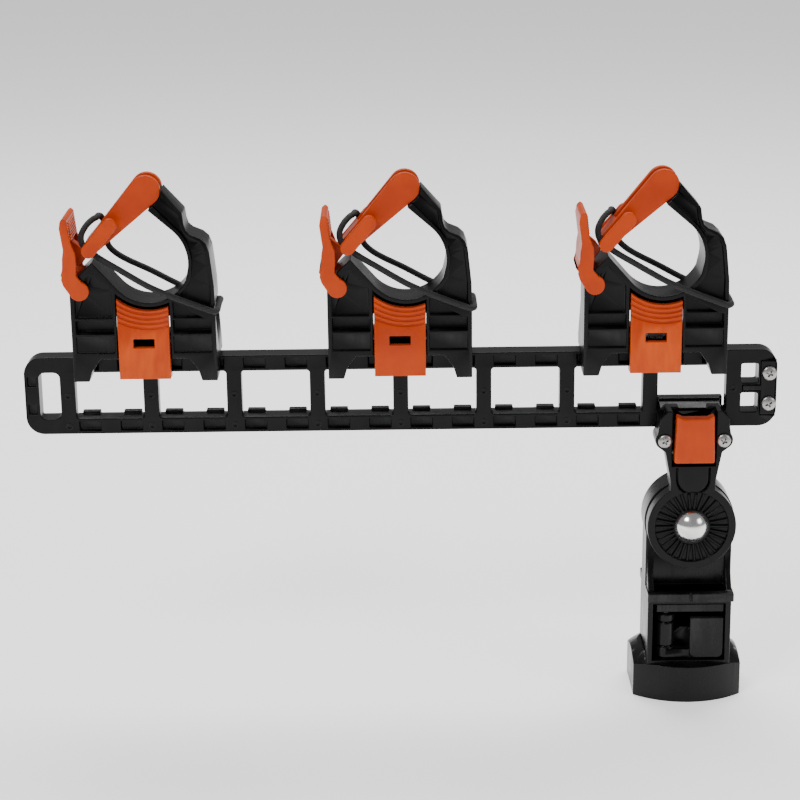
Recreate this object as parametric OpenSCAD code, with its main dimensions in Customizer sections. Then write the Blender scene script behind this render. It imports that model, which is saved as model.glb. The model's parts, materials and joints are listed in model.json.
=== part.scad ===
// Tilting ladder rail with three locking rod cradles on a plug-in deck foot.
// Millimetres. +X runs along the rail to its short end, -Y faces the user, +Z is up.
// The origin is the centre of the deck socket's mouth, under the foot.

/* [Rail] */
// Distance between the centres of two rungs
rung_pitch = 41.6; // [41:0.1:42]
// Height of the rail over both members
rail_h = 40; // [39.5:0.1:40.5]
// Depth of the rail, front to back
rail_d = 11; // [10.8:0.1:11.2]
// Height of each long member
member_h = 8; // [7.8:0.1:8.2]
// Width of a rung
rung_w = 7.5; // [7:0.1:8]

/* [Cradle] */
// Depth of the cradle's body, front to back
cradle_d = 22; // [21.8:0.1:22.2]
// Radius of the rod throat
throat_r = 20.5; // [20:0.1:20.6]
// Radius of the elastic cord
cord_r = 1.5; // [1.3:0.1:1.6]
// Radius of the gate's and catch lever's pins
pivot_pin_r = 2; // [1.8:0.1:2.1]

/* [Mast] */
// Height of the tilt axis over the deck
tilt_z = 93.5; // [93:0.1:94]
// Radius of the rosette's front disc
rosette_r = 22.3; // [22:0.1:22.4]
// Number of radial ribs in the rosette
rib_count = 30; // [24:1:36]
// Radius of the tilt bolt's shank
bolt_r = 3; // [2.8:0.1:3.1]

/* [Foot] */
// Width of the foot
foot_w = 55; // [54:0.5:56]
// Depth of the foot, front to back
foot_d = 51; // [50:0.5:52]
// Radius of the deck socket
socket_r = 20; // [19.5:0.1:20.2]
// Depth of the deck socket
socket_len = 12; // [11:0.5:12]

/* [Hidden] */
$fn = 64;
eps = 0.05;
fit = 0.05;
rail_z = 142;
rail_top = rail_z + rail_h;
rail_y = rail_d / 2;
rail_x0 = -333.5;
rail_x1 = 42.5;
rail_corner = 9;
rung_x = [for (k = [0:8]) rung_pitch * (k - 7.5)];
cradle_x = [rung_x[1], rung_x[4], rung_x[7]];
pocket_w = 11;
pocket_h = 5;
pocket_d = 3;
lug_h = 1.8;

front = -24;
back = front + cradle_d;
mid = (front + back) / 2;
arm_half = 6;
throat = [3.3, 52.8];
thick = 0.9;
lip_r = throat_r + 2.3;
gate_at = [3, 86.4];
gate_r = 7.4;
gate_tip = [-24.8, 58.3];
tip_r = 3.55;
horn_top = [-14.2, 70.6];
channel = [-2.3, 2.2];
channel_end = [-13.1, 70.1];
tongue_half = 2.3;
ear_gap = 0.3;
catch_at = [-30.2, 38.8];
boss_r = 4.8;
plate_t = 2.1;
latch_at = [-17.6, 12];
latch_half = 12.5;
pin_r = 1.5;
wire_r = 2.6;
hook_slope = [[-22.2, -2.5], [-22.2, -5.8], [-6, -10.4], [-3.2, -10.4], [-3.2, -8.4], [-6.2, -8.4], [-7, -6.5]];

mast_front = -20;
disc_back = -11.4;
bracket_face = -10.2;
bracket_back = 6;
bracket_r = 22.8;
bracket_half = 21.2;
shelf_z = 54.4;
shelf_top = 59;
button_at = [-15, 132];
screw_x = 14.6;
screw_z = 139.3;
jaw_profile = [[10, 154.5], [3, 154.5], [3, 153.1], [-3, 150.9],
    [-3, 150.35], [1.6, 150.35], [1.6, 152.1], [10, 152.1]];
lever_at = [-11.5, -14.5];
barrel_r = 4.5;
dog_reach = 3.9;
brow_r = 42;
foot_h = 23;
deck_z = 19;
slide_travel = 3;
slide_hole_r = 10.2;
cord_sides = 8;

// Centre line of the elastic loop in the cradle's own frame: notch, front strand,
// round the gate's horns, back strand and home to the notch.
cord_route = [
    [36.3, -12.8, 28.9], [36.3, -17, 28.8], [36.3, -21.5, 28.5], [36.2, -24.3, 28.3], [35.3, -25.5, 28.2],
    [34, -25.8, 28.2], [27, -25.8, 30.8], [20, -25.8, 33.5], [13, -25.8, 36.4], [5, -25.8, 40.1],
    [1, -25.4, 42.2], [-4, -24.3, 44.9], [-11.5, -22.2, 49], [-18, -20.9, 52.6], [-23.5, -20.8, 56.4],
    [-27.8, -20.8, 60.6], [-28.6, -19, 65], [-26.5, -16.2, 69], [-23.9, -13.2, 71.3], [-21.9, -10, 72],
    [-21.3, -7.4, 72.3], [-20.2, -5.3, 71.2], [-18.6, -5.2, 67.8], [-18.4, -5.2, 64], [-18.2, -5.2, 60],
    [-17, -5, 56], [-13.2, -4.4, 52.2], [-8.5, -3.2, 49], [-4, -1.5, 46.3], [1, -0.5, 43.6],
    [5, -0.2, 41.4], [13, -0.2, 37], [20, -0.2, 33.6], [27, -0.2, 30.8], [34, -0.2, 28.2],
    [35.3, -0.5, 28.2], [36.2, -1.7, 28.3], [36.3, -4.5, 28.5], [36.3, -8.5, 28.8], [36.3, -12.6, 28.9]];

// Points on an arc round [x, y], from angle a to angle b
function arc(x, y, r, a, b, n = 12) =
    [for (i = [0:n]) [x + r * cos(a + (b - a) * i / n), y + r * sin(a + (b - a) * i / n)]];

// Outline of a bar with round ends of radius r at p and s at q
function bar(p, r, q, s, n = 14) =
    let (a = atan2(q[1] - p[1], q[0] - p[0]), b = acos((r - s) / norm(q - p)))
    concat(arc(p[0], p[1], r, a + b, a + 360 - b, n), arc(q[0], q[1], s, a - b, a + b, n));

function unit(v) = v / norm(v);

// Point on the smooth curve through four neighbours, at t from 0 to 1
function spline(a, b, c, d, t) =
    0.5 * (2 * b + (c - a) * t + (2 * a - 5 * b + 4 * c - d) * t * t + (3 * b - a - 3 * c + d) * t * t * t);

function smooth(p, sub) = let (n = len(p)) concat(
    [for (i = [0:n - 2], j = [0:sub - 1])
        spline(p[max(i - 1, 0)], p[i], p[i + 1], p[min(i + 2, n - 1)], j / sub)],
    [p[n - 1]]);

// Side vectors carried along the curve without twist
function carried(t, i, e) = i >= len(t) ? [] :
    let (f = unit(e - (e * t[i]) * t[i])) concat([f], carried(t, i + 1, f));

module box(x0, x1, y0, y1, z0, z1) translate([x0, y0, z0]) cube([x1 - x0, y1 - y0, z1 - z0]);

// Child outline in X and Z, extruded from y0 to y1
module slab(y0, y1) translate([0, y1, 0]) rotate([90, 0, 0]) linear_extrude(y1 - y0) children();

// Child outline in Y and Z, extruded from x0 to x1
module side(x0, x1) translate([x0, 0, 0]) rotate([90, 0, 90]) linear_extrude(x1 - x0) children();

module y_rod(x, z, r, y0, y1) translate([x, y0, z]) rotate([-90, 0, 0]) cylinder(r = r, h = y1 - y0);

module x_rod(y, z, r, x0, x1) translate([x0, y, z]) rotate([0, 90, 0]) cylinder(r = r, h = x1 - x0);

module z_rod(x, y, r, z0, z1) translate([x, y, z0]) cylinder(r = r, h = z1 - z0);

module both_sides() {
    children();
    mirror([1, 0, 0]) children();
}

module on_rail(k) translate([cradle_x[k - 1], 0, rail_top]) children();

// Pan head screw along Y, head towards the user
module pan_screw(x, y, z, head_r, shank_r, length) {
    y_rod(x, z, head_r, y - 2, y);
    y_rod(x, z, shank_r, y - eps, y + length);
}

module tube_along(route, r, sides) {
    p = smooth(route, 2);
    n = len(p);
    t = [for (i = [0:n - 1]) unit(p[min(i + 1, n - 1)] - p[max(i - 1, 0)])];
    e = carried(t, 0, [0, 0, 1]);
    pts = [for (i = [0:n - 1], k = [0:sides - 1])
        p[i] + r * (cos(360 * k / sides) * e[i] + sin(360 * k / sides) * cross(t[i], e[i]))];
    skin = [for (i = [0:n - 2], k = [0:sides - 1])
        let (m = (k + 1) % sides) [i * sides + k, (i + 1) * sides + k, (i + 1) * sides + m, i * sides + m]];
    caps = [[for (k = [0:sides - 1]) k], [for (k = [sides - 1:-1:0]) (n - 1) * sides + k]];
    polyhedron(points = pts, faces = concat(skin, caps));
}

// ---- rail ----

module window(x0, x1, z0, z1, r) {
    slab(-rail_y - 1, rail_y + 1)
        polygon(concat(arc(x1 - r, z1 - r, r, 0, 90, 4), arc(x0 + r, z1 - r, r, 90, 180, 4),
            arc(x0 + r, z0 + r, r, 180, 270, 4), arc(x1 - r, z0 + r, r, 270, 360, 4)));
}

module rail_blank() {
    c = rail_corner;
    slab(-rail_y, rail_y)
        polygon(concat(arc(rail_x1 - c, rail_top - c, c, 0, 90), arc(rail_x0 + c, rail_top - c, c, 90, 180),
            arc(rail_x0 + c, rail_z + c, c, 180, 270), arc(rail_x1 - c, rail_z + c, c, 270, 360)));
}

// Blind pockets in a member's front and back, and the lugs behind its inner edge
module member_pockets(z) {
    for (k = [0:8], s = [-1, 1]) {
        x = rung_x[k] + s * rung_pitch / 4;
        if (x < rung_x[8] && x > rung_x[0])
            for (y = [-rail_y - 1, rail_y - pocket_d])
                box(x - pocket_w / 2, x + pocket_w / 2, y, y + pocket_d + 1, z - pocket_h / 2, z + pocket_h / 2);
    }
}

module member_lugs(z) {
    for (k = [0:7], s = [0.25, 0.75]) {
        x = rung_x[k] + s * rung_pitch;
        box(x - 4.5, x + 4.5, 2, rail_y, z - lug_h / 2, z + lug_h / 2);
    }
}

module rail_frame() {
    z0 = rail_z + member_h;
    z1 = rail_top - member_h;
    end_bar_x = rail_x0 + 7.2;
    color("#1d1d1e") {
        difference() {
            rail_blank();
            for (k = [0:7])
                window(rung_x[k] + rung_w / 2, rung_x[k + 1] - rung_w / 2, z0, z1, 1.5);
            window(end_bar_x, rung_x[0] - rung_w / 2, z0, z1, 3);
            for (z = [rail_z + 7.4, rail_z + 22.6])
                window(rung_x[8] + rung_w / 2, 33.1, z, z + 10, 1);
            box(end_bar_x, rung_x[8] + rung_w / 2, 2, rail_y + 1, z0, z1);
            member_pockets(rail_z + member_h / 2);
            member_pockets(rail_top - member_h / 2);
            for (z = [rail_z + 10.5, rail_z + 25])
                box(rail_x0 + 1.5, end_bar_x - 1.5, -rail_y - 1, -rail_y + 2, z, z + 5);
            end_plate_outline(-rail_y - 1, -rail_y + 3.6, 0.1);
            for (z = [rail_z + 12, rail_z + 27.7])
                y_rod(38.4, z, 1.55, -rail_y, rail_y + 1);
        }
        member_lugs(z0 + lug_h / 2 - eps);
        member_lugs(z1 - lug_h / 2 + eps);
    }
}

module end_plate_outline(y0, y1, grow) {
    box(34.3 - grow, 41.4 + grow, y0, y1, rail_z + 6 - grow, rail_z + 34 + grow);
    box(25.4 - grow, 34.4, y0, y1, rail_z + 18.6 - grow, rail_z + 21.4 + grow);
}

module end_plate() {
    color("#1a1a1b") difference() {
        end_plate_outline(-rail_y - 0.4, -rail_y + 3.5, 0);
        for (z = [rail_z + 12, rail_z + 27.7])
            y_rod(38.4, z, 1.7, -rail_y - 1, rail_y);
    }
}

module end_screws() {
    color("#b9b8b4") for (z = [rail_z + 12, rail_z + 27.7])
        pan_screw(38.4, -rail_y - 0.4, z, 3.7, 1.5, 9);
}

// ---- cradle, in its own frame: origin on the rail's top edge, at a rung ----

module cradle_outline() {
    polygon(concat(
        [[35.2, -7.4], [35.2, 26.2], [34.6, 26.6], [34.6, 30.8], [35.2, 31.2], [35, 40], [34, 50]],
        [[33.2, 57], [31.8, 61], [29, 63.6], [24.2, 65.6], [22.2, 67.5], [21.3, 70.5], [20.7, 75.5]],
        arc(gate_at[0], gate_at[1], 6.2, 44, 232),
        arc(throat[0] - thick, throat[1] - thick, throat_r, 49.7, -8, 12),
        arc(throat[0], throat[1], throat_r, -28, -138.4, 22),
        [[-22.9, 51.6], [-23.6, 52.6], [-30.4, 46.2]],
        arc(catch_at[0], catch_at[1], 5, 100, 180, 6),
        [[-35.2, -7.4], [-27.6, -7.4], [-26, -2], [-21.6, 4], [21.6, 4], [26, -2], [27.6, -7.4]]));
}

// The body narrows towards the arm
module cradle_taper() {
    side(-40, 40)
        polygon([[front, -10], [back, -10], [back, 58], [mid + arm_half, 98], [mid - arm_half, 98], [front, 58]]);
}

module left_panel(z0) {
    polygon([[-32.8, z0], [-15.6, z0], [-15.6, 37.4], [-23.6, 46.8], [-27, 44.6], [-32.8, 33]]);
}

module right_panel(z0) {
    polygon(concat([[15.6, z0], [32.8, z0], [32.8, 40], [31.8, 50], [30.2, 59.2]],
        arc(throat[0], throat[1], throat_r + 3, 22, -58, 10)));
}

module front_recesses() {
    slab(front - 1, front + 3) {
        polygon([[-33, 24.5], [-15, 24.5], [-15, 38], [-23.6, 47.4], [-27, 45], [-33, 33]]);
        polygon([[14.6, 24.5], [29, 24.5], [14.6, 32.6]]);
    }
    intersection() {
        side(-40, 40)
            polygon([[front - 2, -10], [front + 2.6, -10], [front + 2.6, 58], [mid - arm_half + 2, 98], [front - 2, 98]]);
        slab(front - 1, mid)
            polygon(concat([[18.6, 34.4], [33, 26.8], [33, 40], [32.1, 50], [31.3, 56.5], [30, 59.9], [28, 61.8]],
                [[23.2, 63.8], [20.8, 66.6], [19.5, 70.2], [18.9, 74.9], [9.5, 84.5], [6.2, 79.6]],
                arc(throat[0] - thick, throat[1] - thick, throat_r + 1.8, 49, -8, 10),
                arc(throat[0], throat[1], throat_r + 2, -24, -50, 5)));
    }
    both_sides() {
        box(14.4, 33, front - 1, front + 6, 16.6, 23.4);
        box(14.4, 33, front - 1, front + 1.5, 7, 15.4);
    }
}

module latch_recess() {
    difference() {
        box(-13, 13, front - 1, -18, -8, 37);
        y_rod(throat[0], throat[1], lip_r, front - 2, -17);
    }
    box(-13, 13, front - 1, back + 1, 14.5, 24);
    box(-13, 13, front - 1, -13.5, 7, 15);
}

module cradle_body(k) {
    color("#1b1b1c") on_rail(k) {
        difference() {
            union() {
                difference() {
                    intersection() {
                        slab(front, back) cradle_outline();
                        cradle_taper();
                    }
                    slab(front - 1, back + 1)
                        polygon(bar(gate_at, gate_r + ear_gap, gate_tip, tip_r + ear_gap));
                    front_recesses();
                    slab(-17, back + 1) left_panel(9);
                    slab(-17, back + 1) right_panel(9);
                }
                slab(mid - tongue_half, mid + tongue_half) intersection() {
                    cradle_outline();
                    translate(gate_at) circle(gate_r + 2);
                }
                y_rod(catch_at[0], catch_at[1], boss_r - 0.4, front, back);
                box(-35.2, 35.2, back - eps, 10, 0.3, 6);
                box(-30, 30, rail_y + 0.4, 10, -7.4, 6);
                for (x = [-35.2, -15.6, 13.4, 33])
                    side(x, x + 2.2) polygon([[back - eps, 5.9], [10, 5.9], [back - eps, 26]]);
            }
            latch_recess();
            box(-40, 40, -rail_y - 0.35, rail_y + 0.35, -9, 0.3);
            y_rod(gate_at[0], gate_at[1], pivot_pin_r + fit, front - 1, back + 1);
            y_rod(catch_at[0], catch_at[1], pivot_pin_r + fit, front - 1, back + 1);
            x_rod(latch_at[0], latch_at[1], pin_r + fit, -15.1, 15.1);
        }
    }
}

module gate(k) {
    color("#c8501f") on_rail(k) difference() {
        union() {
            slab(mid - arm_half, mid + arm_half) polygon(bar(gate_at, gate_r, gate_tip, tip_r));
            for (y = [front - 1.2, back - 1.4])
                slab(y, y + 2.6) polygon(bar(gate_tip, tip_r, horn_top, tip_r + 0.05));
            y_rod(horn_top[0], horn_top[1], 2.4, front, back);
        }
        slab(mid - tongue_half - ear_gap, mid + tongue_half + ear_gap) {
            translate(gate_at) circle(gate_r + 2.4);
            polygon(bar(gate_at + channel, gate_r, channel_end + channel, gate_r - 2.2));
        }
        y_rod(gate_at[0], gate_at[1], pivot_pin_r + fit, mid - 5.4, mid + 5.4);
    }
}

module gate_pin(k) {
    color("#8d8f92") on_rail(k) y_rod(gate_at[0], gate_at[1], pivot_pin_r, mid - 5.3, mid + 5.3);
}

module catch_outline() {
    translate(catch_at) circle(boss_r);
    polygon([[-34.2, 36.2], [-28.5, 43.3], [-31.2, 46.4], [-30.8, 52.6], [-31.1, 57.3], [-33.2, 62.9],
        [-34, 70],
        [-34.4, 73.8], [-35.9, 75], [-37.6, 73.5], [-38.2, 69.8], [-37.3, 62.9], [-36.8, 59.2], [-37.5, 55],
        [-37.7, 50.5], [-38.5, 44.4], [-37.6, 41.5]]);
}

module catch_lever(k) {
    y0 = front - 0.3 - plate_t;
    y1 = back + 0.3 + plate_t;
    color("#cd5522") on_rail(k) difference() {
        union() {
            slab(y0, front - 0.3) catch_outline();
            slab(back + 0.3, y1) catch_outline();
            slab(front - 0.4, back + 0.4) {
                polygon([[-38.3, 46], [-36.1, 46], [-35.6, 50.5], [-35.2, 55], [-34.6, 59.2], [-34, 63], [-34, 70],
                    [-34.4, 73.8], [-35.9, 75], [-37.6, 73.5], [-38.2, 69.8], [-37.3, 62.9], [-36.8, 59.2],
                    [-37.5, 55], [-37.7, 50.5]]);
            }
            slab(mid - 3, mid + 3)
                polygon([[-36.5, 62], [-33.5, 61.6], [-28.9, 57.5], [-26.6, 54], [-30.7, 48.4], [-36.5, 50]]);
        }
        y_rod(catch_at[0], catch_at[1], pivot_pin_r + fit, front - 1.8, back + 1.8);
    }
}

module catch_pin(k) {
    color("#8d8f92") on_rail(k) y_rod(catch_at[0], catch_at[1], pivot_pin_r, front - 1.7, back + 1.7);
}

module rail_latch(k) {
    y0 = front - 1.5;
    y1 = front + 2;
    color("#d0561f") on_rail(k) difference() {
        union() {
            difference() {
                box(-latch_half, latch_half, y0, y1, -5.9, 36);
                y_rod(throat[0], throat[1], lip_r + 1.5, y0 - 1, y1 + 1);
            }
            for (x = [-12, 9.5]) {
                box(x, x + 2.5, y1 - eps, latch_at[0], latch_at[1] - 2.7, latch_at[1] + 2.7);
                x_rod(latch_at[0], latch_at[1], 2.7, x, x + 2.5);
            }
            for (x = [-11, 5])
                side(x, x + 6) polygon(hook_slope);
        }
        box(-5.15, 5.15, y0 - 1, y1 + 1, 9.85, 14.35);
        for (j = [0:3])
            difference() {
                y_rod(throat[0], throat[1], lip_r + 3.7 + 2.4 * j, y0 - 1, y0 + 0.7);
                y_rod(throat[0], throat[1], lip_r + 2.7 + 2.4 * j, y0 - 2, y0 + 1);
            }
        x_rod(latch_at[0], latch_at[1], pin_r + fit, -13, 13);
    }
}

module latch_pin(k) {
    color("#8d8f92") on_rail(k) x_rod(latch_at[0], latch_at[1], pin_r, -15, 15);
}

// Closed sleeve in the place of the torsion spring's turns
module latch_spring(k) {
    color("#a7a9ab") on_rail(k) difference() {
        x_rod(latch_at[0], latch_at[1], wire_r, -4, 4);
        x_rod(latch_at[0], latch_at[1], pin_r + 0.2, -5, 5);
    }
}

module elastic_cord(k) {
    color("#232325") on_rail(k) tube_along(cord_route, cord_r, cord_sides);
}

// ---- clip that holds the rail's lower member ----

module clip_outline() {
    polygon(concat(
        [[13.4, 154.5], [17.2, 150.4], [17.6, 146]],
        arc(screw_x, screw_z, 4.7, 40, -62, 8),
        [[14.1, 133], [11.3, 118], [11, 104], [-11, 104], [-11.3, 118], [-14.1, 133]],
        arc(-screw_x, screw_z, 4.7, 242, 140, 8),
        [[-17.6, 146], [-17.2, 150.4], [-13.4, 154.5]]));
}

module clip_front() {
    y1 = -rail_y - 0.35;
    color("#1c1c1d") difference() {
        union() {
            difference() {
                slab(mast_front, y1) clip_outline();
                y_rod(0, tilt_z, bracket_r + 0.6, disc_back, y1 + 1);
            }
            y_rod(0, tilt_z, rosette_r, mast_front, disc_back);
        }
        box(-11, 11, mast_front - 1, -12.2, 125.9, 160);
        box(-7.2, 7.2, mast_front - 1, y1 + 1, 150.6, 160);
        both_sides() box(5.8, 9.3, -13, y1 + 1, 143.3, 150.2);
        slab(mast_front - 1, mast_front + 1)
            difference() {
                polygon(concat([[8.6, 124.9], [-8.6, 124.9]], arc(0, 119, 8.6, 180, 360, 10)));
                polygon(concat([[7.6, 126], [-7.6, 126]], arc(0, 119, 7.6, 180, 360, 10)));
            }
        x_rod(button_at[0], button_at[1], pin_r + fit, -13.6, 13.6);
        both_sides() y_rod(screw_x, screw_z, 1.7, mast_front - 1, y1 + 1);
        difference() {
            y_rod(0, tilt_z, 18.4, mast_front - 1, mast_front + 1.6);
            y_rod(0, tilt_z, 9.2, mast_front - 2, mast_front + 2);
            for (i = [0:rib_count - 1])
                translate([0, mast_front + 0.5, tilt_z]) rotate([0, 360 * i / rib_count, 0])
                    translate([8, 0, -0.6]) cube([11, 2, 1.2]);
        }
        y_rod(0, tilt_z, bolt_r + fit, mast_front - 1, disc_back + 1);
        box(-3, 3, mast_front - 1, mast_front + 4.1, tilt_z - 3, tilt_z + 3);
    }
}

module clip_rear() {
    y0 = -rail_y - 0.35;
    color("#1c1c1d") difference() {
        union() {
            box(-17, 17, rail_y + 0.35, 10, 126, 154.5);
            side(-15.4, 15.4) polygon(jaw_profile);
            box(-17, 17, y0 + 0.05, 10, 126, rail_z - 0.3);
        }
        both_sides() {
            y_rod(screw_x, screw_z, 1.55, y0 - 1, 6);
            side(12, 18) polygon([[y0 - 1, 125], [y0 - 1, 132], [11, 144], [11, 125]]);
        }
    }
}

module clip_screws() {
    color("#b9b8b4") both_sides() pan_screw(screw_x, mast_front, screw_z, 3.5, 1.5, 24);
}

module release_button() {
    color("#c9521f") difference() {
        union() {
            slab(-24, -17.9)
                polygon([[-10, 128.3], [10, 128.3], [9.3, 153.3], [6, 151.8], [-6, 151.8], [-9.3, 153.3]]);
            both_sides() {
                box(5.2, 8.8, -18, button_at[0], button_at[1] - 2.6, button_at[1] + 2.6);
                x_rod(button_at[0], button_at[1], 2.6, 5.2, 8.8);
                box(6.2, 8.8, -18, -3.3, 144.3, 146.3);
            }
        }
        x_rod(button_at[0], button_at[1], pin_r + fit, -12, 12);
    }
}

module button_pin() {
    color("#8d8f92") x_rod(button_at[0], button_at[1], pin_r, -13.4, 13.4);
}

module button_spring() {
    color("#a7a9ab") difference() {
        x_rod(button_at[0], button_at[1], wire_r - 0.1, -4, 4);
        x_rod(button_at[0], button_at[1], pin_r + 0.2, -5, 5);
    }
}

// ---- tilt bolt and clamp ----

module carriage_bolt() {
    dome_r = 8.15;
    dome_h = 4.6;
    ball_r = (dome_r * dome_r + dome_h * dome_h) / (2 * dome_h);
    color("#d8d8d6") {
        intersection() {
            translate([0, mast_front - dome_h + ball_r, tilt_z]) sphere(ball_r);
            box(-20, 20, mast_front - 20, mast_front, tilt_z - 20, tilt_z + 20);
        }
        box(-2.9, 2.9, mast_front - eps, mast_front + 4, tilt_z - 2.9, tilt_z + 2.9);
        y_rod(0, tilt_z, bolt_r, mast_front, 20);
    }
}

module ring(r, hole_r, y0, y1) {
    difference() {
        y_rod(0, tilt_z, r, y0, y1);
        y_rod(0, tilt_z, hole_r, y0 - 1, y1 + 1);
    }
}

module friction_washer() color("#3a3a3c") ring(20, bolt_r + 0.4, disc_back + 0.15, bracket_face);

module flat_washer() color("#c9c9c6") ring(9, bolt_r + 0.3, bracket_back, bracket_back + 1.5);

module clamp_knob() {
    y0 = bracket_back + 1.8;
    color("#1e1e1f") difference() {
        union() {
            y_rod(0, tilt_z, 13, y0, 21);
            for (i = [0:5])
                y_rod(12.6 * cos(60 * i), tilt_z + 12.6 * sin(60 * i), 4, y0 + 2, 20);
        }
        y_rod(0, tilt_z, bolt_r + 0.4, y0 - 1, 22);
        translate([0, y0 - 1, tilt_z]) rotate([-90, 0, 0]) cylinder(r = 5.9, h = 6.2, $fn = 6);
    }
}

module knob_nut() {
    y0 = bracket_back + 2;
    color("#c9c9c6") difference() {
        translate([0, y0, tilt_z]) rotate([-90, 0, 0]) cylinder(r = 5.8, h = 4.8, $fn = 6);
        y_rod(0, tilt_z, bolt_r + fit, y0 - 1, y0 + 6);
    }
}

// ---- base bracket and its lock ----

module base_bracket() {
    color("#202021") difference() {
        union() {
            difference() {
                box(-bracket_half, bracket_half, mast_front, 14, deck_z, shelf_z + 1);
                box(-18.5, 18.3, mast_front - 1, -7, 21, 52);
                box(-17, 17, 4, 15, 28.5, 50);
            }
            box(-16.6, 17.6, -19, -6.9, 47.3, 51.4);
            box(-21.8, 21.8, -24, 14, shelf_z, shelf_top);
            box(-21.8, 21.8, bracket_face, bracket_back, shelf_top - 1, tilt_z);
            y_rod(0, tilt_z, bracket_r, bracket_face, bracket_back);
            both_sides() side(18.2, 21.2)
                polygon([[-20, shelf_top - 1], [bracket_face + 1, shelf_top - 1], [bracket_face + 1, 77], [-14, 67]]);
        }
        slab(-25, -22) polygon([[-0.9, 53], [0.9, 53], [0.5, 60], [-0.5, 60]]);
        y_rod(0, tilt_z, bolt_r + 0.3, bracket_face - 1, bracket_back + 1);
        z_rod(lever_at[0], lever_at[1], pin_r + fit, deck_z - 1, 52.2);
        dog_slot();
        for (x = [-9, 9], y = [-4, 8]) z_rod(x, y, 1.35, deck_z - 1, 27.7);
    }
}

module dog_slot() {
    translate([0, 0, 16]) linear_extrude(6)
        polygon([[-13.3, -8.8], [-6.7, -8.8], [-6.7, -13.9], [-10.5, -13.9], [-10.5, -12.5], [-13.3, -12.5]]);
}

module lock_lever() {
    color("#232324") difference() {
        union() {
            z_rod(lever_at[0], lever_at[1], barrel_r, 22, 45.4);
            box(lever_at[0], 5, -19, -15.4, 22, 26.6);
            slab(-19.4, -16.4)
                polygon(concat([[17.6, 44], [0.6, 44]], arc(3.6, 25, 3, 180, 270, 5), arc(14.6, 25, 3, 270, 360, 5)));
            z_rod(lever_at[0], lever_at[1] + dog_reach, 1.5, 13.6, 22.6);
        }
        for (z = [27.6, 40.8])
            difference() {
                z_rod(lever_at[0], lever_at[1], barrel_r + 1, z, z + 0.9);
                z_rod(lever_at[0], lever_at[1], barrel_r - 0.9, z - 1, z + 2);
            }
        z_rod(lever_at[0], lever_at[1], pin_r + fit, 21, 46);
    }
}

module lock_pin() {
    color("#9fa1a3") z_rod(lever_at[0], lever_at[1], pin_r, deck_z + 0.2, 52);
}

module lock_spring() {
    color("#a7a9ab") difference() {
        z_rod(lever_at[0], lever_at[1], 2.8, 45.6, 47.2);
        z_rod(lever_at[0], lever_at[1], pin_r + 0.2, 45, 48);
    }
}

// Keyhole plate that grips the deck mount's groove; the lever's dog draws it back
module lock_slide() {
    color("#8e9092") difference() {
        box(-17, 18, -15, 15, 13.2, 15.8);
        z_rod(-slide_travel, 0, slide_hole_r, 12, 17);
        box(-13.3, -9.7, -16, -8.6, 12, 17);
    }
}

module foot() {
    color("#202021") difference() {
        intersection() {
            box(-foot_w / 2, foot_w / 2, -foot_d / 2, foot_d / 2, 0, foot_h);
            z_rod(0, brow_r - foot_d / 2, brow_r, 0, foot_h);
            z_rod(0, foot_d / 2 - brow_r, brow_r, 0, foot_h);
            union() {
                z_rod(0, 0, brow_r, 0, foot_h - 7);
                translate([0, 0, foot_h - 7.1]) cylinder(r1 = 33.5, r2 = 24, h = 7.1);
            }
        }
        z_rod(0, 0, socket_r, -1, socket_len);
        z_rod(0, 0, slide_hole_r + 0.1, socket_len - 1, 13.5);
        box(-17.5, 21.5, -15.3, 15.3, 13, 16.1);
        box(-bracket_half - 0.1, bracket_half + 0.1, mast_front - 0.1, 14.1, deck_z, foot_h + 1);
        box(-bracket_half - 0.1, bracket_half + 0.1, -30, mast_front, deck_z + 0.2, foot_h + 1);
        dog_slot();
        for (x = [-9, 9], y = [-4, 8]) {
            z_rod(x, y, 2.6, 15, 17.7);
            z_rod(x, y, 1.5, 15, 20);
        }
    }
}

module foot_screws() {
    color("#b9b8b4") for (x = [-9, 9], y = [-4, 8]) {
        z_rod(x, y, 2.5, 16.2, 17.7);
        z_rod(x, y, 1.3, 17.6, 27.5);
    }
}

rail_frame();
end_plate();
end_screws();
for (k = [1:3]) {
    cradle_body(k);
    gate(k);
    gate_pin(k);
    catch_lever(k);
    catch_pin(k);
    rail_latch(k);
    latch_pin(k);
    latch_spring(k);
    elastic_cord(k);
}
clip_front();
clip_rear();
clip_screws();
release_button();
button_pin();
button_spring();
carriage_bolt();
friction_washer();
flat_washer();
clamp_knob();
knob_nut();
base_bracket();
lock_lever();
lock_pin();
lock_spring();
lock_slide();
foot();
foot_screws();
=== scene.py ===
import json
from math import asin, cos, radians, sin, tau

import bmesh
import bpy
from mathutils import Matrix, Vector


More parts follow.
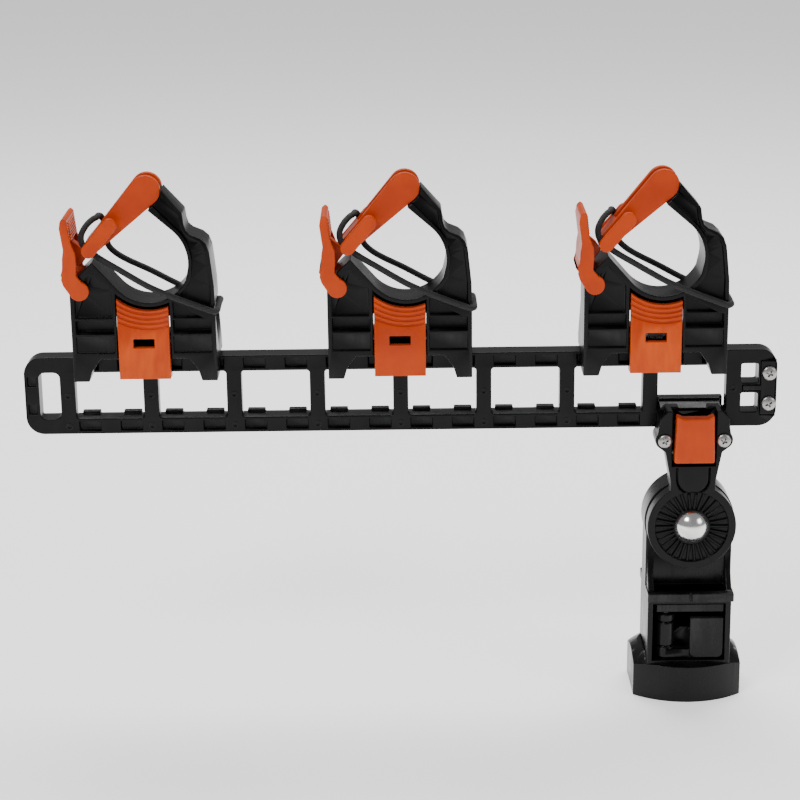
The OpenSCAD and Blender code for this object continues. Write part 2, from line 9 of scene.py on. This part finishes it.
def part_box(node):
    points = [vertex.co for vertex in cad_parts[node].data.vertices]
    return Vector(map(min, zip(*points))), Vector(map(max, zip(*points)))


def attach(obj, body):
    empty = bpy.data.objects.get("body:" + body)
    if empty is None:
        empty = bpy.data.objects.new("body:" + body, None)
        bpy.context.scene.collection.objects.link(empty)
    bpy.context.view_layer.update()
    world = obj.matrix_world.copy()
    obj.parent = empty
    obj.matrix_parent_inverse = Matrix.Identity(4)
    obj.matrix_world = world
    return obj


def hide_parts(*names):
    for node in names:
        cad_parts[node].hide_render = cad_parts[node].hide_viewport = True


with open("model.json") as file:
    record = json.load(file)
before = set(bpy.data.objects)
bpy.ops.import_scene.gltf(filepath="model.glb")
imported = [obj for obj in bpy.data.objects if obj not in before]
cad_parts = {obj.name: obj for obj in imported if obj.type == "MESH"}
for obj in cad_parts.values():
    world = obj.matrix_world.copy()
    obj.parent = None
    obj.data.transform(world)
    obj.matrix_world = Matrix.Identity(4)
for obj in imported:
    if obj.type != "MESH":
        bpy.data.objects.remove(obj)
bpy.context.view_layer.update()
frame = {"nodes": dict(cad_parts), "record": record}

MM = 0.001
WHITE = (1, 1, 1, 1)
CRADLES = (1, 2, 3)  # numbers of the three cradles
RAIL_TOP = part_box("rail_frame")[1].z
CRADLE_X = [(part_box(f"rail_latch_{k}")[0].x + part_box(f"rail_latch_{k}")[1].x) / 2 for k in CRADLES]
BODY_OF = {node: body for body, nodes in frame["record"]["behaviour"]["bodies"].items() for node in nodes}
SLOT_OF = {part["node"]: part["material_slot"] for part in frame["record"]["subparts"]}


# ---- materials ----

class Shader:
    """A short way to write a node tree: every call adds one node and returns its output."""

    def __init__(self, name, roughness, metallic=0.0, shine=0.36, coat=0.0):
        self.material = bpy.data.materials.new(name)
        self.material.use_nodes = True
        self.tree = self.material.node_tree
        self.surface = self.tree.nodes["Principled BSDF"]
        self.surface.inputs["Roughness"].default_value = roughness
        self.surface.inputs["Metallic"].default_value = metallic
        self.surface.inputs["Coat Weight"].default_value = coat
        self.surface.inputs["Coat Roughness"].default_value = 0.2
        self.surface.inputs["Specular IOR Level"].default_value = shine
        self.place = self.tree.nodes.new("ShaderNodeTexCoord").outputs["Object"]

    def add(self, kind, inputs=None, output=0, **settings):
        node = self.tree.nodes.new(kind)
        for key, value in settings.items():
            setattr(node, key, value)
        for key, value in (inputs or {}).items():
            if isinstance(value, bpy.types.NodeSocket):
                self.tree.links.new(value, node.inputs[key])
            else:
                node.inputs[key].default_value = value
        return node.outputs[output]

    def noise(self, scale, detail=3.0, rough=0.5, stretch=(1, 1, 1)):
        place = self.add("ShaderNodeMapping", {"Vector": self.place, "Scale": stretch})
        inputs = {"Vector": place, "Scale": scale, "Detail": detail, "Roughness": rough}
        return self.add("ShaderNodeTexNoise", inputs)

    def spread(self, value, low, high, to_low, to_high):
        """Maps a value's range onto another range."""
        return self.add("ShaderNodeMapRange", {0: value, 1: low, 2: high, 3: to_low, 4: to_high})

    def mix(self, amount, first, second):
        return self.add("ShaderNodeMix", {0: amount, 6: first, 7: second}, output=2, data_type="RGBA")

    def edges(self):
        """1 on sharp outer edges and 0 elsewhere."""
        return self.spread(self.add("ShaderNodeNewGeometry", output="Pointiness"), 0.52, 0.6, 0.0, 1.0)

    def maths(self, operation, first, second=0.0):
        return self.add("ShaderNodeMath", {0: first, 1: second}, operation=operation)

    def bump(self, height, strength, distance, normal=None):
        inputs = {"Height": height, "Strength": strength, "Distance": distance}
        if normal is not None:
            inputs["Normal"] = normal
        return self.add("ShaderNodeBump", inputs)

    def set(self, **links):
        """Links the surface's inputs and returns the finished material."""
        for key, value in links.items():
            self.tree.links.new(value, self.surface.inputs[key.replace("_", " ")])
        return self.material


def moulded(name, dark, light, edge, roughness, grain=0.25, shine=0.2, coat=0.0):
    """Injection-moulded plastic: fine spark-eroded grain, soft blotches, and sharp edges paler with rubbing wear
    and a painted highlight.
    """
    s = Shader(name, roughness, shine=shine, coat=coat)
    blotches = s.noise(55, 4)
    grain_noise = s.noise(2600, 2)
    flow = s.noise(160, 5, 0.6, (1, 1, 0.25))
    scuffs = s.spread(s.noise(420, 6, 0.7, (1, 3, 0.5)), 0.62, 0.78, 0.0, 1.0)
    base = s.mix(s.spread(blotches, 0.35, 0.65, 0.0, 1.0), dark, light)
    # Sharp edges are mixed towards the edge tone: partly rubbing wear, partly a painted highlight along the
    # rims.
    edge_wear_and_highlight = s.maths("MULTIPLY", s.edges(), s.spread(flow, 0.35, 0.7, 0.1, 0.7))
    colour = s.mix(edge_wear_and_highlight, base, edge)
    colour = s.mix(s.maths("MULTIPLY", scuffs, 0.12), colour, edge)
    dulled = s.maths("ADD", flow, s.maths("MULTIPLY", scuffs, 0.3))
    rough = s.spread(dulled, 0.3, 1.0, roughness - 0.06, roughness + 0.16)
    skin = s.bump(grain_noise, grain, 0.00006, s.bump(flow, 0.06, 0.0003))
    return s.set(Base_Color=colour, Roughness=rough, Normal=skin)


def steel(name, tone, roughness, stretch=(1, 1, 1), scale=900):
    """Bright or ground metal: fine turning lines, faint stains and uneven shine."""
    s = Shader(name, roughness, metallic=1.0)
    lines = s.noise(scale, 4, 0.6, stretch)
    stains = s.noise(140, 4)
    low = tuple(0.82 * c for c in tone[:3]) + (1,)
    colour = s.mix(s.spread(stains, 0.35, 0.7, 0.0, 0.8), tone, low)
    rough = s.spread(s.maths("ADD", lines, stains), 0.6, 1.4, roughness - 0.05, roughness + 0.12)
    return s.set(Base_Color=colour, Roughness=rough, Normal=s.bump(lines, 0.18, 0.00005))


def braided(name):
    """Braided elastic: crossing yarns wound round the cord, laid out on its length and girth."""
    s = Shader(name, 0.72)
    s.surface.inputs["Sheen Weight"].default_value = 0.06
    uv = s.tree.nodes["Texture Coordinate"].outputs["UV"]
    along = s.maths("MULTIPLY", s.add("ShaderNodeSeparateXYZ", {0: uv}), tau)
    around = s.maths("MULTIPLY", s.add("ShaderNodeSeparateXYZ", {0: uv}, output=1), 5 * tau)
    first = s.maths("SINE", s.maths("ADD", along, around))
    second = s.maths("SINE", s.maths("SUBTRACT", along, around))
    weave = s.maths("ABSOLUTE", s.maths("MULTIPLY", first, second))
    fuzz = s.noise(3800, 3)
    colour = s.mix(s.spread(weave, 0.1, 0.8, 0.0, 1.0), (0.002, 0.002, 0.0022, 1), (0.016, 0.016, 0.017, 1))
    colour = s.mix(s.spread(fuzz, 0.55, 0.75, 0.0, 0.3), colour, (0.05, 0.05, 0.052, 1))
    height = s.maths("ADD", weave, s.maths("MULTIPLY", fuzz, 0.25))
    rough = s.spread(fuzz, 0.3, 0.7, 0.6, 0.85)
    return s.set(Base_Color=colour, Roughness=rough, Normal=s.bump(height, 0.6, 0.0003))


def rubber(name):
    """Dark grip washer: dull, with a fine dimpled face."""
    s = Shader(name, 0.85)
    dimples = s.add("ShaderNodeTexVoronoi", {"Vector": s.place, "Scale": 900})
    dust = s.noise(260, 4)
    colour = s.mix(s.spread(dust, 0.5, 0.75, 0.0, 0.5), (0.018, 0.018, 0.019, 1), (0.06, 0.058, 0.055, 1))
    rough = s.spread(dust, 0.3, 0.7, 0.75, 0.92)
    return s.set(Base_Color=colour, Roughness=rough, Normal=s.bump(dimples, 0.4, 0.0002))


def floor_paper(name):
    """Pale studio paper, a little bright of itself so that it stays light in the shade."""
    s = Shader(name, 0.9)
    fibres = s.noise(900, 3)
    tone = s.mix(s.noise(3, 2), (0.955, 0.955, 0.955, 1), (0.975, 0.975, 0.975, 1))
    s.surface.inputs["Emission Color"].default_value = WHITE
    s.surface.inputs["Emission Strength"].default_value = 0.6
    return s.set(Base_Color=tone, Normal=s.bump(fibres, 0.05, 0.0002))


# The third colour of each plastic is its edge tone: paler for rubbing wear and as a painted highlight on sharp
# rims.
MATERIAL = {
    "black_plastic": moulded("black_plastic", (0.0012, 0.0012, 0.0013, 1), (0.0022, 0.0022, 0.0024, 1),
                             (0.03, 0.03, 0.031, 1), 0.3, 0.2, 0.16),
    "base_plastic": moulded("base_plastic", (0.0016, 0.0016, 0.0017, 1), (0.0028, 0.0028, 0.003, 1),
                            (0.034, 0.034, 0.035, 1), 0.27, 0.2, 0.2),
    "orange_plastic": moulded("orange_plastic", (0.38, 0.030, 0.0003, 1), (0.47, 0.042, 0.0005, 1),
                              (0.70, 0.10, 0.004, 1), 0.36, 0.12, 0.2),
    "screw_steel": steel("screw_steel", (0.40, 0.39, 0.38, 1), 0.3),
    "pin_steel": steel("pin_steel", (0.26, 0.26, 0.27, 1), 0.4, (1, 8, 8)),
    "spring_steel": steel("spring_steel", (0.12, 0.12, 0.125, 1), 0.45),
    "washer_steel": steel("washer_steel", (0.60, 0.60, 0.60, 1), 0.36),
    "bolt_chrome": steel("bolt_chrome", (0.83, 0.83, 0.82, 1), 0.14, scale=400),
    "friction_rubber": rubber("friction_rubber"),
    "elastic_fabric": braided("elastic_fabric"),
}


# ---- making pieces ----

SEAM = 2e-6  # metres: points closer than this are one point
FLAT = 0.6  # degrees: faces that turn less than this are one face
EDGE = 32  # degrees: a CAD edge that turns more than this is bevelled
CREASE = 35  # degrees: a made edge that turns more than this stays crisp
BEVEL_STEPS = 3


def link(name, mesh, node, replaces=True):
    """Puts a new mesh in the scene with its CAD node's material, body and finish slot."""
    piece = bpy.data.objects.new(name, mesh)
    bpy.context.scene.collection.objects.link(piece)
    mesh.materials.clear()
    mesh.materials.append(MATERIAL[SLOT_OF[node]])
    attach(piece, BODY_OF[node])
    if replaces:
        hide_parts(node)
    return piece


def bevelled(node, width, split=False):
    """A copy of a CAD node with its edges rounded by a width in mm, as moulding leaves them.

    With split, faces that have more than four corners are triangulated first.
    """
    mesh = frame["nodes"][node].data.copy()
    bm = bmesh.new()
    bm.from_mesh(mesh)
    bmesh.ops.remove_doubles(bm, verts=bm.verts, dist=SEAM)
    bmesh.ops.dissolve_limit(bm, angle_limit=radians(FLAT), verts=bm.verts, edges=bm.edges)
    if split:
        bmesh.ops.triangulate(bm, faces=[face for face in bm.faces if len(face.verts) > 4])
    bm.to_mesh(mesh)
    bm.free()
    mesh.shade_smooth()
    mesh.set_sharp_from_angle(angle=radians(EDGE))
    piece = link(node + "_skin", mesh, node)
    edge = piece.modifiers.new("edges", "BEVEL")
    edge.width = width * MM
    edge.segments = BEVEL_STEPS
    edge.limit_method = "ANGLE"
    edge.angle_limit = radians(EDGE)
    edge.harden_normals = True
    edge.use_clamp_overlap = False
    return piece


def at(x, y, z):
    """The shift to a place in mm."""
    return Matrix.Translation((x * MM, y * MM, z * MM))


# Each lays an upright shape down: towards the front, towards the back, and along the rail.
TO_USER = Matrix.Rotation(radians(90), 4, "X")
FROM_USER = Matrix.Rotation(radians(-90), 4, "X")
ALONG_X = Matrix.Rotation(radians(90), 4, "Y")


def finished(name, bm, sharp=CREASE):
    """Turns a bmesh into a mesh with smooth faces and crisp edges."""
    mesh = bpy.data.meshes.new(name)
    bm.to_mesh(mesh)
    bm.free()
    mesh.shade_smooth()
    mesh.set_sharp_from_angle(angle=radians(sharp))
    return mesh


def on_circle(radius, angle, height):
    """A point round the Z axis, given in mm and radians, in metres."""
    return Vector((radius * MM * cos(angle), radius * MM * sin(angle), height * MM))


def turned(bm, profile, place, sides=48):
    """Adds a closed turned solid: profile points are (radius, height) in mm, from its tip to its top."""
    rings = []
    for radius, height in profile:
        steps = sides if radius > 0 else 1
        rings.append([bm.verts.new(place @ on_circle(radius, tau * i / sides, height)) for i in range(steps)])
    for low, high in zip(rings, rings[1:]):
        for i in range(sides):
            j = (i + 1) % sides
            corners = [low[i % len(low)], low[j % len(low)], high[j % len(high)], high[i % len(high)]]
            bm.faces.new(list(dict.fromkeys(corners)))


def prism(bm, outline, low, high, place, low_scale=1.0):
    """Adds a prism on an outline given anticlockwise in mm; its low end can be drawn in."""
    near = [bm.verts.new(place @ Vector((x * low_scale * MM, y * low_scale * MM, low * MM)))
            for x, y in outline]
    far = [bm.verts.new(place @ Vector((x * MM, y * MM, high * MM))) for x, y in outline]
    bm.faces.new(near[::-1])
    bm.faces.new(far)
    for i in range(len(outline)):
        j = (i + 1) % len(outline)
        bm.faces.new([near[i], near[j], far[j], far[i]])


def cut(mesh, tools):
    """Takes the tools' volume out of a mesh."""
    blank = bpy.data.objects.new("blank", mesh)
    tool = bpy.data.objects.new("tool", finished("tool", tools))
    for thing in (blank, tool):
        bpy.context.scene.collection.objects.link(thing)
    trim = blank.modifiers.new("trim", "BOOLEAN")
    trim.operation = "DIFFERENCE"
    trim.solver = "EXACT"
    trim.object = tool
    graph = bpy.context.evaluated_depsgraph_get()
    result = bpy.data.meshes.new_from_object(blank.evaluated_get(graph))
    bpy.data.objects.remove(blank)
    bpy.data.objects.remove(tool)
    result.set_sharp_from_angle(angle=radians(CREASE))
    return result


def tube(bm, points, radius, sides, closed=False, cells=0):
    """Adds a round tube along points in metres, with its length and girth laid out as UVs."""
    count = len(points)
    last = count if closed else count - 1
    uv = bm.loops.layers.uv.verify()

    def point_at(i):
        return points[i % count] if closed else points[min(max(i, 0), last)]

    tangents = [(point_at(i + 1) - point_at(i - 1)).normalized() for i in range(count)]
    lean = [tangents[0].orthogonal().normalized()]
    for tangent in tangents[1:]:
        lean.append((lean[-1] - tangent * lean[-1].dot(tangent)).normalized())
    back = (lean[-1] - tangents[0] * lean[-1].dot(tangents[0])).normalized()
    twist = back.angle(lean[0]) * (1 if back.cross(lean[0]).dot(tangents[0]) > 0 else -1) if closed else 0
    rings = []
    for i, (point, tangent) in enumerate(zip(points, tangents)):
        side = Matrix.Rotation(twist * i / count, 3, tangent) @ lean[i]
        other = tangent.cross(side)
        turns = [tau * k / sides for k in range(sides)]
        rings.append([bm.verts.new(point + radius * (cos(a) * side + sin(a) * other)) for a in turns])
    for i in range(last):
        for k in range(sides):
            m, n = (k + 1) % sides, (i + 1) % count
            face = bm.faces.new([rings[i][k], rings[i][m], rings[n][m], rings[n][k]])
            for loop, (a, b) in zip(face.loops, ((i, k), (i, k + 1), (i + 1, k + 1), (i + 1, k))):
                loop[uv].uv = (a * cells / last, b / sides)
    if not closed:
        bm.faces.new(rings[0][::-1])
        bm.faces.new(rings[-1])


def smooth(points, steps):
    """Points on the smooth closed curve through the given ones."""
    count = len(points)
    curve = []
    for i in range(count):
        a, b, c, d = (points[(i + j) % count] for j in (-1, 0, 1, 2))
        for t in (step / steps for step in range(steps)):
            curve.append(0.5 * (2 * b + (c - a) * t + (2 * a - 5 * b + 4 * c - d) * t ** 2
                                + (3 * b - a - 3 * c + d) * t ** 3))
    return curve


# ---- moulded pieces ----

bevelled("rail_frame", 0.5, split=True)
bevelled("foot", 0.3)
for node in ("end_plate", "clip_front", "clip_rear", "clamp_knob", "base_bracket", "lock_lever"):
    bevelled(node, 0.5)
bevelled("release_button", 1.1)
for node in ("lock_slide", "knob_nut", "flat_washer", "friction_washer"):
    bevelled(node, 0.4)
for k in CRADLES:
    bevelled(f"cradle_body_{k}", 0.5, split=True)
    bevelled(f"rail_latch_{k}", 0.3)
    for name in ("gate", "catch_lever"):
        bevelled(f"{name}_{k}", 0.6)


# ---- screws, springs and bolt ----

END_SCREW_X, END_SCREW_Y, END_SCREW_HEIGHTS = 38.4, -5.9, (154, 169.7)
CLIP_SCREW_X, CLIP_SCREW_Y, CLIP_SCREW_Z = 14.6, -20, 139.3
BOLT_Y, BOLT_Z = -20, 93.5
HEAD_H, DOME_LOW, RECESS_DEPTH = 2.0, 0.8, 1.4
FIRST_TURN, TURN_STEP = 25, 40  # degrees: no two screws stop at the same angle
WIRE_STEPS, WIRE_SIDES = 24, 10  # steps in a turn of a spring, and sides of its wire


def threads(core, crest, low, high, pitch):
    """Profile of a ridged shank between two heights."""
    count = int((high - low) / pitch)
    return [point for i in range(count) for point in ((core, low + i * pitch), (crest, low + (i + 0.5) * pitch))]


def cross(reach, half):
    """Outline of a cross recess: one arm's corners, turned round in quarters."""
    outline, arm = [], [(reach, -half), (reach, half), (half, half)]
    for _ in range(4):
        outline += arm
        arm = [(-y, x) for x, y in arm]
    return outline


def screw(bm, tools, place, head_r, shank_r, length, turn):
    """Adds a pan head screw seated at the placed frame's origin and the tool for its cross recess."""
    rises = [radians(18 * i) for i in range(5)]
    dome = [(head_r * cos(a), DOME_LOW + (HEAD_H - DOME_LOW) * sin(a)) for a in rises]
    shank = threads(0.8 * shank_r, shank_r, -length + 0.6, -0.5, 0.8)
    turned(bm, [(0, -length), (0.5 * shank_r, -length), *shank, (shank_r, 0), (0.95 * head_r, 0), (head_r, 0.2),
                *dome, (0, HEAD_H)], place)
    prism(tools, cross(0.56 * head_r, 0.15 * head_r), HEAD_H - RECESS_DEPTH, HEAD_H + 0.3,
          place @ Matrix.Rotation(radians(turn), 4, "Z"), 0.5)


def screws(node, seats, head_r, shank_r, length):
    """Replaces a CAD node of screws, with one screw at each seat."""
    bm, tools = bmesh.new(), bmesh.new()
    for i, seat in enumerate(seats):
        screw(bm, tools, seat, head_r, shank_r, length, FIRST_TURN + TURN_STEP * i)
    link(node + "_turned", cut(finished(node + "_turned", bm), tools), node)


def coil(node, place, mean_r, wire_r, length, turns):
    """A wound spring in the place of its plain sleeve."""
    steps = int(turns * WIRE_STEPS)
    wire = [place @ on_circle(mean_r, tau * turns * i / steps, length * (i / steps - 0.5))
            for i in range(steps + 1)]
    bm = bmesh.new()
    tube(bm, wire, wire_r * MM, WIRE_SIDES)
    link(node + "_coil", finished(node + "_coil", bm), node)


def carriage_bolt():
    """The tilt bolt: a low dome on a square neck and a threaded shank."""
    dome_r, dome_h, dome_steps, neck = 8.15, 4.6, 14, 2.9
    ball = (dome_r ** 2 + dome_h ** 2) / (2 * dome_h)
    reach = asin(dome_r / ball)
    rises = [reach * (1 - i / dome_steps) for i in range(dome_steps)]
    dome = [(ball * sin(a), ball * cos(a) - ball + dome_h) for a in rises]
    bm = bmesh.new()
    seat = at(0, BOLT_Y, BOLT_Z) @ TO_USER
    shank = threads(2.5, 3, -39.4, -25, 1.0)
    turned(bm, [(0, -40), (2.2, -40), *shank, (3, -24.6), (3, 0), *dome, (0, dome_h)], seat, 96)
    prism(bm, [(-neck, -neck), (neck, -neck), (neck, neck), (-neck, neck)], -4, -0.05, seat)
    link("carriage_bolt_turned", finished("carriage_bolt_turned", bm, 50), "carriage_bolt")


end_seats = [at(END_SCREW_X, END_SCREW_Y, z) @ TO_USER for z in END_SCREW_HEIGHTS]
clip_seats = [at(x, CLIP_SCREW_Y, CLIP_SCREW_Z) @ TO_USER for x in (-CLIP_SCREW_X, CLIP_SCREW_X)]
screws("end_screws", end_seats, head_r=3.7, shank_r=1.5, length=9)
screws("clip_screws", clip_seats, head_r=3.5, shank_r=1.5, length=24)
coil("button_spring", at(0, -15, 132) @ ALONG_X, mean_r=2.1, wire_r=0.38, length=7.2, turns=8)
coil("lock_spring", at(-11.5, -14.5, 46.4), mean_r=2.25, wire_r=0.3, length=0.9, turns=1.4)
carriage_bolt()


# ---- cradle details ----

CORD_R, CORD_SIDES, CORD_STEPS = 1.5, 20, 5
YARNS = 104  # crossings of the braid along one loop
RIDGES, RIDGE_R, RIDGE_LENGTH, RIDGE_PITCH = 7, 0.45, 20.6, 1.35
RIDGE_X, RIDGE_Y, RIDGE_Z, RIDGE_LEAN = -33.3, -23.3, 63.8, 0.11

# The loop's way round, in mm from the point on the rail's top under the middle of its cradle.
ROUTE = [Vector(point) * MM for point in (
    (36.3, -12.8, 28.9), (36.3, -17, 28.8), (36.3, -21.5, 28.5), (36.2, -24.3, 28.3), (35.3, -25.5, 28.2),
    (34, -25.8, 28.2), (27, -25.8, 30.8), (20, -25.8, 33.5), (13, -25.8, 36.4), (5, -25.8, 40.1),
    (1, -25.4, 42.2), (-4, -24.3, 44.9), (-11.5, -22.2, 49), (-18, -20.9, 52.6), (-23.5, -20.8, 56.4),
    (-27.8, -20.8, 60.6), (-28.6, -19, 65), (-26.5, -16.2, 69), (-23.9, -13.2, 71.3), (-21.9, -10, 72),
    (-21.3, -7.4, 72.3), (-20.2, -5.3, 71.2), (-18.6, -5.2, 67.8), (-18.4, -5.2, 64), (-18.2, -5.2, 60),
    (-17, -5, 56), (-13.2, -4.4, 52.2), (-8.5, -3.2, 49), (-4, -1.5, 46.3), (1, -0.5, 43.6),
    (5, -0.2, 41.4), (13, -0.2, 37), (20, -0.2, 33.6), (27, -0.2, 30.8), (34, -0.2, 28.2),
    (35.3, -0.5, 28.2), (36.2, -1.7, 28.3), (36.3, -4.5, 28.5), (36.3, -8.5, 28.8))]


def elastic_cord(k, corner):
    """The braided loop of one cradle."""
    bm = bmesh.new()
    curve = smooth([corner + point for point in ROUTE], CORD_STEPS)
    tube(bm, curve, CORD_R * MM, CORD_SIDES, closed=True, cells=YARNS)
    link(f"elastic_cord_{k}_braid", finished(f"elastic_cord_{k}_braid", bm, 80), f"elastic_cord_{k}")


def catch_grip(k, corner):
    """The ridges across the thumb pad of one catch lever."""
    bm = bmesh.new()
    for i in range(RIDGES):
        up = RIDGE_PITCH * i
        place = Matrix.Translation(corner) @ at(RIDGE_X - RIDGE_LEAN * up, RIDGE_Y, RIDGE_Z + up) @ FROM_USER
        turned(bm, [(0, 0), (RIDGE_R, 0), (RIDGE_R, RIDGE_LENGTH), (0, RIDGE_LENGTH)], place, 16)
    link(f"catch_grip_{k}", finished(f"catch_grip_{k}", bm), f"catch_lever_{k}", replaces=False)


def latch_spring(k, corner):
    """The spring behind one rail latch."""
    place = Matrix.Translation(corner) @ at(0, -17.6, 12) @ ALONG_X
    coil(f"latch_spring_{k}", place, mean_r=2.15, wire_r=0.4, length=7.2, turns=8)


for k, x in zip(CRADLES, CRADLE_X):
    corner = Vector((x, 0, RAIL_TOP))
    elastic_cord(k, corner)
    catch_grip(k, corner)
    latch_spring(k, corner)


# ---- rail details ----

RUNGS, RUNG_PITCH, FIRST_RUNG = 9, 41.6, -7.5  # the first rung's place is in pitches from the origin
RAIL_FRONT, MARK_HEIGHTS = -5.5, (146, 162)


def ejector_marks():
    """Low rings that a mould's ejector pins leave on the rungs; three places near the clip have none."""
    profile = [(0, -0.4), (1.7, -0.4), (1.7, 0.06), (1.55, 0.14), (1.25, 0.14), (1.1, 0.06), (0, 0.06)]
    bm = bmesh.new()
    for step in range(RUNGS):
        for z in MARK_HEIGHTS:
            bare = step == RUNGS - 2 or (step == RUNGS - 1 and z == MARK_HEIGHTS[0])
            if not bare:
                turned(bm, profile, at(RUNG_PITCH * (step + FIRST_RUNG), RAIL_FRONT, z) @ TO_USER, 32)
    link("ejector_marks", finished("ejector_marks", bm), "rail_frame", replaces=False)


ejector_marks()

# The CAD pieces keep the same finishes, for wherever they are shown.
for name, piece in frame["nodes"].items():
    piece.data.materials.clear()
    piece.data.materials.append(MATERIAL[SLOT_OF[name]])


# ---- stage ----

MIDDLE = (-0.14, 0, 0.15)
FLOOR_SIZE = 6
CAMERA_PLACE, CAMERA_PITCH, CAMERA_ROLL = (-0.146, -1.0586, 0.4798), 17, -0.7
LENS, SENSOR = 99, 36  # mm


def soft_light(name, place, size, watts):
    """A rectangular lamp turned towards the middle of the object."""
    data = bpy.data.lights.new(name, "AREA")
    data.shape = "RECTANGLE"
    data.size, data.size_y = size
    data.energy = watts
    lamp = bpy.data.objects.new(name, data)
    bpy.context.scene.collection.objects.link(lamp)
    lamp.location = place
    lamp.rotation_euler = (Vector(MIDDLE) - Vector(place)).to_track_quat("-Z", "Y").to_euler()


def pale_floor():
    """The paper that the object stands on."""
    mesh = bpy.data.meshes.new("floor")
    bm = bmesh.new()
    bmesh.ops.create_grid(bm, x_segments=8, y_segments=8, size=FLOOR_SIZE)
    bm.to_mesh(mesh)
    bm.free()
    mesh.materials.append(floor_paper("floor_paper"))
    ground = bpy.data.objects.new("floor", mesh)
    bpy.context.scene.collection.objects.link(ground)


def camera():
    """A long lens, looking slightly down."""
    data = bpy.data.cameras.new("camera")
    data.sensor_width = SENSOR
    data.lens = LENS
    data.clip_start = 0.05
    view = bpy.data.objects.new("camera", data)
    bpy.context.scene.collection.objects.link(view)
    view.matrix_world = (Matrix.Translation(CAMERA_PLACE) @ Matrix.Rotation(radians(90 - CAMERA_PITCH), 4, "X")
                         @ Matrix.Rotation(radians(CAMERA_ROLL), 4, "Z"))
    bpy.context.scene.camera = view


def daylight():
    """Even white light from all round."""
    world = bpy.data.worlds.new("studio")
    bpy.context.scene.world = world
    world.use_nodes = True
    background = world.node_tree.nodes["Background"]
    background.inputs["Color"].default_value = WHITE
    background.inputs["Strength"].default_value = 0.3


camera()
daylight()
pale_floor()
soft_light("key", place=(-0.7, -0.8, 1.1), size=(0.4, 0.4), watts=9)
soft_light("fill", place=(1.0, -0.7, 0.7), size=(0.5, 0.5), watts=4)
soft_light("top", place=(0.0, 0.7, 1.5), size=(1.6, 0.8), watts=34)
